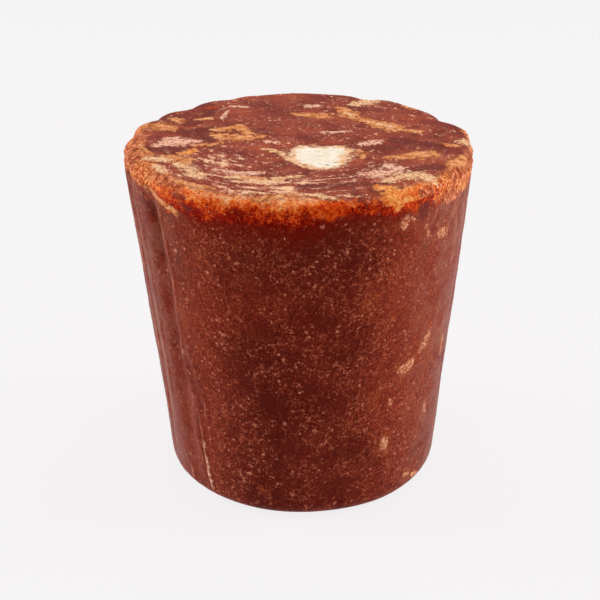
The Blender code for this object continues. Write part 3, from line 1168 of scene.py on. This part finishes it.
def strokes_over(r, colour):
    """All kinds of strokes of the upper face and the rim, over a colour."""
    flaky = r.cloud(0.9 * MM, 3.0, 0.75)
    lumpy = r.plus(r.cloud(2.2 * MM, 4.0, 0.75), r.scaled(flaky, -0.25, 0.25))
    cream = r.ramp(flaky, *CREAM_FLAKE)
    colour = patch(r, colour, "plum", PLUM_DARK, 3.0 * MM, 0.9, 0.2, strength=0.7)
    colour = patch(r, colour, "crust", r.ramp(lumpy, *CRUST), 2.0 * MM, 1.2, 0.25, 0.45, 0.85)
    colour = patch(r, colour, "tan", r.ramp(lumpy, *TAN_SUGAR), 2.0 * MM, 1.1, 0.14, rim=0.6)
    colour = patch(r, colour, "pink", r.ramp(flaky, *PINK_FLAKE), 1.3 * MM, 1.6, 0.2, rim=0.35)
    colour = patch(r, colour, "cream", cream, 1.4 * MM, 1.5, 0.2, 0.56, rim=0.35)
    colour = patch(r, colour, "honey", r.ramp(flaky, *HONEY_CLEAR), 2.0 * MM, 1.2, 0.25)
    colour = patch(r, colour, "amber", r.ramp(flaky, *AMBER_CLEAR), 2.0 * MM, 0.7, 0.3, strength=0.8)
    colour = patch(r, colour, "white", r.ramp(lumpy, *PEACH_SUGAR), 1.8 * MM, 0.5, 0.12, 0.40)
    colour = patch(r, colour, "white", r.ramp(lumpy, *WHITE_SUGAR), 2.6 * MM, 0.35, 0.09, 0.54, 1.0)
    pepper, _ = r.flecks(2.6 * MM, 0.22, 0.20, r.shaken(0.9 * MM, 0.6 * MM))
    return r.mix(r.times(pepper, r.rise(r.field("white"), 0.5, 0.7)), colour, PEPPER)


print("kinds of strokes:", KINDS)

# %% [markdown]
# ## Putting the block's material together
# Height tells the wall from the face, and the lip's field lays its crust over both. The bump is
# only for grain finer than the mesh. The gloss is low, as on wax, and its tint keeps it brown where
# the surface is seen square on and pale only where it turns away.

# %% Block material
GLOSS = 0.11
GLOSS_TINT = (0.50, 0.13, 0.07, 1)
BUMP_STRENGTH = 0.5
BUMP_HEIGHT = 0.25 * MM
ROUGH = 0.56
SATIN = 0.42


def jaggery_colour(r):
    """Wall, face, lip and strokes, laid over each other."""
    on_face = r.rise(r.place["Z"], HEIGHT - 4.0 * MM, HEIGHT - 1.8 * MM)
    colour = r.mix(on_face, wall_colour(r), face_skin(r))
    colour = r.mix(r.ragged("lip", 1.4 * MM, 0.9, 0.30), colour, lip_colour(r))
    return strokes_over(r, colour)


def jaggery_material():
    r = Recipe("jaggery")
    r.plug(r.shader.inputs["Base Color"], jaggery_colour(r))
    fine = r.cloud(0.32 * MM, 2.0, 0.6)
    coarse = r.cloud(0.9 * MM, 2.0, 0.6)
    grain = r.plus(r.times(fine, 0.4), coarse)
    inputs = {"Strength": BUMP_STRENGTH, "Distance": BUMP_HEIGHT, "Height": grain}
    r.plug(r.shader.inputs["Normal"], r.add("ShaderNodeBump", inputs).outputs["Normal"])
    r.plug(r.shader.inputs["Roughness"], r.scaled(r.field("satin"), ROUGH, SATIN))
    set_plain(r, Specular_IOR_Level=GLOSS, Specular_Tint=GLOSS_TINT)
    return r.material


block_material = jaggery_material()
print("nodes in the block's material:", len(block_material.node_tree.nodes))


# %% Finish the block
def put_in_scene(name, data):
    """An object at the origin that holds a mesh, a light or a camera."""
    thing = bpy.data.objects.new(name, data)
    bpy.context.scene.collection.objects.link(thing)
    return thing


def piece_from(bm, name, material):
    """Turns a bmesh into a mesh with one material, and puts it in the scene."""
    mesh = bpy.data.meshes.new(name)
    bm.to_mesh(mesh)
    bm.free()
    mesh.materials.append(material)
    return put_in_scene(name, mesh)


surface = BVHTree.FromBMesh(block_mesh)
block = piece_from(block_mesh, "jaggery_surface", block_material)
block.data.shade_smooth()
for name, values in fields.items():
    layer = block.data.attributes.new(name, "FLOAT", "POINT")
    layer.data.foreach_set("value", values)
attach(block, "root")
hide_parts("jaggery_block")
print("block surface:", len(block.data.polygons), "faces")

# %% [markdown]
# ## Sugar crystals
# The larger crystals stand just proud of the surface and catch the light, so they are real grains.
# A grain is a rough ball of twenty faces, flattened and turned at random. Blender's particles could
# strew them; here a ray finds each grain's place, and the noise and fields that colour the surface
# say how likely it is to stay. Adding to a big bmesh gets slower as it grows, so grains are made a
# handful at a time and poured into the heap.

# %% Making grains
HANDFUL = 80


def add_grain(bm, spot, normal, radius, dice):
    """One flattened, jagged grain, sunk to about half its height."""
    facing = normal.to_track_quat("Z", "Y").to_matrix().to_4x4()
    spin = Matrix.Rotation(dice.uniform(0, math.tau), 4, "Z")
    shape = Matrix.Diagonal((dice.uniform(0.8, 1.9), dice.uniform(0.6, 1.0), 0.5, 1))
    place = Matrix.Translation(spot) @ facing @ spin @ shape
    made = bmesh.ops.create_icosphere(bm, subdivisions=1, radius=radius, matrix=place)
    for vert in made["verts"]:
        vert.co += (vert.co - spot) * dice.uniform(-0.45, 0.3)


def heap_of_grains(spots, dice):
    """A bmesh of grains, one for each (spot, normal, radius)."""
    heap = bmesh.new()
    for start in range(0, len(spots), HANDFUL):
        handful = bmesh.new()
        for spot, normal, radius in spots[start:start + HANDFUL]:
            add_grain(handful, spot, normal, radius, dice)
        poured = bpy.data.meshes.new("handful")
        handful.to_mesh(poured)
        handful.free()
        heap.from_mesh(poured)
        bpy.data.meshes.remove(poured)
    return heap


print("grains are made", HANDFUL, "at a time")

# %% Clear sugar
GRAIN_TINT = (0.8, 0.40, 0.25, 1)


def crystal_material(name, gloss, stops):
    """Grains of clear sugar: each bit of the heap has its own tone, and some gloss."""
    r = Recipe(name)
    tone = r.cloud(0.8 * MM, 1.0, 0.5)
    r.plug(r.shader.inputs["Base Color"], r.ramp(tone, *stops))
    r.plug(r.shader.inputs["Roughness"], r.scaled(r.cloud(0.5 * MM), 0.30, 0.60))
    set_plain(r, Specular_IOR_Level=gloss, Specular_Tint=GRAIN_TINT)
    return r.material


WALL_STOPS = ((0.40, paint(110, 36, 22)), (0.56, paint(156, 72, 54)), (0.72, paint(222, 144, 116)))
LIP_STOPS = (
    (0.34, paint(160, 28, 4)),
    (0.48, paint(208, 74, 16)),
    (0.60, paint(234, 128, 54)),
    (0.74, paint(250, 170, 114)),
)
CRUMB_STOPS = ((0.36, paint(150, 74, 50)), (0.5, paint(198, 124, 88)), (0.70, paint(238, 186, 150)))
pale_crystals = crystal_material("pale_crystals", 0.10, WALL_STOPS)
amber_grains = crystal_material("amber_grains", 0.07, LIP_STOPS)
sugar_crumbs = crystal_material("sugar_crumbs", 0.15, CRUMB_STOPS)
print("sugars:", pale_crystals.name, amber_grains.name, sugar_crumbs.name)


# %% Strewing grains
def strew(name, wanted, try_a_grain, sunk, material, dice):
    """Tries for grains until enough are found, sinks each a little, and joins them into a piece."""
    spots = []
    while len(spots) < wanted:
        found = try_a_grain(dice)
        if found:
            spot, normal, radius = found
            spots.append((spot - normal * sunk * radius, normal, radius))
    piece = piece_from(heap_of_grains(spots, dice), name, material)
    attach(piece, "root")
    print(name, len(spots), "grains,", len(piece.data.polygons), "faces")


dice = random.Random(5)
print("the dice are seeded, so the grains fall the same way each time")

# %% Crystals of the wall
CROWD_SIZE = 9 * MM
KNOT_SIZE = 2.5 * MM
LOWEST_CRYSTAL = 5 * MM
HIGHEST_CRYSTAL = HEIGHT - 7 * MM


def wall_spot(bearing, height):
    """The point of the wall at a bearing and height, with its normal."""
    angle = math.radians(bearing)
    outwards = Vector((math.sin(angle), -math.cos(angle), 0))
    start = outwards * 2 * TOP_RADIUS + Vector((0, 0, height))
    spot, normal, _, _ = surface.ray_cast(start, -outwards)
    return spot, normal


def wall_crystal(dice):
    """A crystal of the wall, or nothing where the place drawn is to stay bare."""
    spot, normal = wall_spot(dice.uniform(-180, 180), dice.uniform(LOWEST_CRYSTAL, HIGHEST_CRYSTAL))
    crowd = 0.15 + 1.1 * noise.noise(spot / CROWD_SIZE) + 1.1 * noise.noise(spot / KNOT_SIZE)
    if dice.random() > crowd - 0.3 * satin_at(spot) - 0.2 * glow_depth(spot):
        return None
    return spot, normal, MM * dice.uniform(0.06, 0.12) * (1 + 1.5 * dice.random() ** 8)


strew("wall_crystals", 800, wall_crystal, 0.3, pale_crystals, dice)

# %% [markdown]
# ## The lip's grains
# The rim is crusted with coarse sugar, so its grains are larger and lie much closer. They could be
# pushed out of the surface as relief, but loose grains keep their sharp edges. A ray is sent in from
# round the rim at a random tilt, so that the whole rounding gets its share.

# %% Grains of the lip
DEEPEST_START = 3.5  # mm below the lip's level
RAY_START = 20 * MM


def lip_spot(dice):
    """A random point of the lip, with its normal."""
    angle = math.radians(dice.uniform(-180, 180))
    tilt = math.radians(dice.uniform(-5, 80))
    x, y = math.sin(angle), -math.cos(angle)
    outwards = Vector((x * math.cos(tilt), y * math.cos(tilt), math.sin(tilt)))
    ring = TOP_RADIUS - LIP_WIDTH
    height = HEIGHT - LIP_DROP - dice.uniform(0, DEEPEST_START) * MM
    middle = Vector((x * ring, y * ring, height))
    spot, normal, _, _ = surface.ray_cast(middle + outwards * RAY_START, -outwards)
    return spot, normal


def lip_grain(dice):
    """A grain of the lip, or nothing where the place drawn lies outside its band."""
    spot, normal = lip_spot(dice)
    if spot is None or dice.random() > 2.2 * (lip_depth(spot) - 0.5):
        return None
    return spot, normal, MM * dice.uniform(0.12, 0.27)


strew("lip_grains", 2600, lip_grain, 0.4, amber_grains, dice)

# %% [markdown]
# ## Crumbs
# The pale patches of the upper face are dry and crumbly. A crumb is looked for straight below a
# random place over the face, and it mostly stays only where a pale stroke lies.

# %% Crumbs on the upper face
def face_crumb(dice):
    """A crumb on a pale patch or, now and then, between them; or nothing."""
    x = dice.uniform(-TOP_RADIUS, TOP_RADIUS)
    y = dice.uniform(-TOP_RADIUS, TOP_RADIUS)
    if math.hypot(x, y) > TOP_RADIUS - LIP_WIDTH:
        return None
    spot, normal, _, _ = surface.ray_cast(Vector((x, y, 2 * HEIGHT)), Vector((0, 0, -1)))
    crust = max(stroke_depths(spot)[kind] for kind in ("pink", "cream", "tan"))
    if dice.random() > 0.03 + 0.5 * max(0.0, crust - 0.45):
        return None
    return spot, normal, MM * dice.uniform(0.12, 0.26)


strew("face_crumbs", 900, face_crumb, 0.4, sugar_crumbs, dice)

# %% [markdown]
# ## The studio
# A pale floor, a large soft light overhead and a little behind, two tall soft lights at the sides
# and a plain pale world. The front is lit least, so the round wall darkens towards its middle. An
# image of a real studio could light the block too, but a few area lights are easier to understand.

# %% Floor
FLOOR_WHITE = (0.08, 0.0785, 0.079, 1)
GLOW_TINT = (1.0, 0.982, 0.991, 1)
FLOOR_GLOW = 0.838
FLOOR_REACH = 12.0
FLOOR_SQUARES = 8
FLOOR_GAP = 0.2 * MM


def floor_material():
    """A pale floor, lit from within a little so that the block's shadow on it stays faint."""
    r = Recipe("pale_floor")
    r.plug(r.shader.inputs["Roughness"], r.scaled(r.cloud(0.5, 2.0), 0.85, 0.95))
    set_plain(r, Base_Color=FLOOR_WHITE, Specular_IOR_Level=0.0)
    set_plain(r, Emission_Color=GLOW_TINT, Emission_Strength=FLOOR_GLOW)
    return r.material


floor_mesh = bmesh.new()
squares = {"x_segments": FLOOR_SQUARES, "y_segments": FLOOR_SQUARES}
bmesh.ops.create_grid(floor_mesh, size=FLOOR_REACH, **squares)
bmesh.ops.translate(floor_mesh, verts=floor_mesh.verts, vec=(0, 0, -FLOOR_GAP))
floor = piece_from(floor_mesh, "floor", floor_material())
print("floor:", 2 * FLOOR_REACH, "m across")

# %% Lights
MIDDLE = Vector((0, 0, HEIGHT / 2))
# Place, width and height in metres, and power in watts.
SOFTBOXES = {
    "overhead": ((0, 0.45, 1.5), 2.2, 1.6, 10),
    "left": ((-0.9, 0.15, 0.45), 0.4, 0.9, 6),
    "right": ((0.9, 0.05, 0.45), 0.4, 0.9, 7),
}


def softbox(name, place, width, height, power):
    light = bpy.data.lights.new(name, "AREA")
    light.shape = "RECTANGLE"
    light.size = width
    light.size_y = height
    light.energy = power
    lamp = put_in_scene(name, light)
    lamp.location = place
    lamp.rotation_euler = (MIDDLE - Vector(place)).to_track_quat("-Z", "Y").to_euler()


for name, facts in SOFTBOXES.items():
    softbox(name, *facts)
print("soft lights:", list(SOFTBOXES))

# %% World
WORLD_TINT = (1.0, 0.985, 0.99, 1)
WORLD_LIGHT = 0.35
WORLD_BACKDROP = 0.92


def make_world():
    """A dim plain world to light the block, which the camera sees as a pale backdrop."""
    world = bpy.data.worlds.new("studio")
    world.use_nodes = True
    nodes, links = world.node_tree.nodes, world.node_tree.links
    background = nodes["Background"]
    background.inputs["Color"].default_value = WORLD_TINT
    seen = nodes.new("ShaderNodeLightPath")
    strength = nodes.new("ShaderNodeMix")
    strength.inputs["A"].default_value = WORLD_LIGHT
    strength.inputs["B"].default_value = WORLD_BACKDROP
    links.new(seen.outputs["Is Camera Ray"], strength.inputs["Factor"])
    links.new(strength.outputs["Result"], background.inputs["Strength"])
    return world


bpy.context.scene.world = make_world()
print("world strength:", WORLD_LIGHT, "as light,", WORLD_BACKDROP, "as backdrop")

# %% [markdown]
# ## The camera
# A long lens keeps the block's sides nearly parallel. It looks down on the block from its front, and
# colours are shown as they are, with no film-like curve laid over them.

# %% Camera
CAMERA_DISTANCE = 0.412
CAMERA_HEIGHT_ANGLE = math.radians(25.2)
AIM = Vector((0.37, 0.0, 52.06)) * MM
LENS = 80
SENSOR_WIDTH = 36
NEAREST_SEEN = 10 * MM

camera = put_in_scene("camera", bpy.data.cameras.new("camera"))
back = Vector((0, -math.cos(CAMERA_HEIGHT_ANGLE), math.sin(CAMERA_HEIGHT_ANGLE)))
camera.location = AIM + back * CAMERA_DISTANCE
camera.rotation_euler = (-back).to_track_quat("-Z", "Y").to_euler()
camera.data.lens = LENS
camera.data.sensor_width = SENSOR_WIDTH
camera.data.clip_start = NEAREST_SEEN
bpy.context.scene.camera = camera
bpy.context.scene.view_settings.view_transform = "Standard"
print("camera at", [round(part, 3) for part in camera.location])
